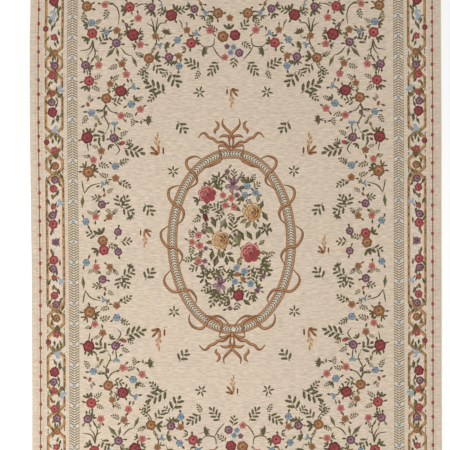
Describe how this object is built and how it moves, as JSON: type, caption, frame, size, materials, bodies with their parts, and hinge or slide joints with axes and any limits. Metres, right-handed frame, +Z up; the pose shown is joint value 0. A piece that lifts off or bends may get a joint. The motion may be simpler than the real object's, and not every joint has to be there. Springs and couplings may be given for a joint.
{
  "type": "aubusson rug",
  "caption": "Flat woven rug laid out on a floor, cream ground with flower sprays, an oval ribbon medallion and banded borders.",
  "frame": {"origin": "on the floor under the middle of the rug", "axes": "+X across the rug from selvedge to selvedge, +Y along the rug from hem to hem, +Z up from the floor"},
  "size_m": [1.6049, 2.3, 0.0056],
  "materials": {
    "tapestry_weave": "matt chenille and wool tapestry weave, cream ground with inlaid coloured yarns"
  },
  "bodies": {
    "root": {"rug": "tapestry_weave"}
  },
  "joints": []
}
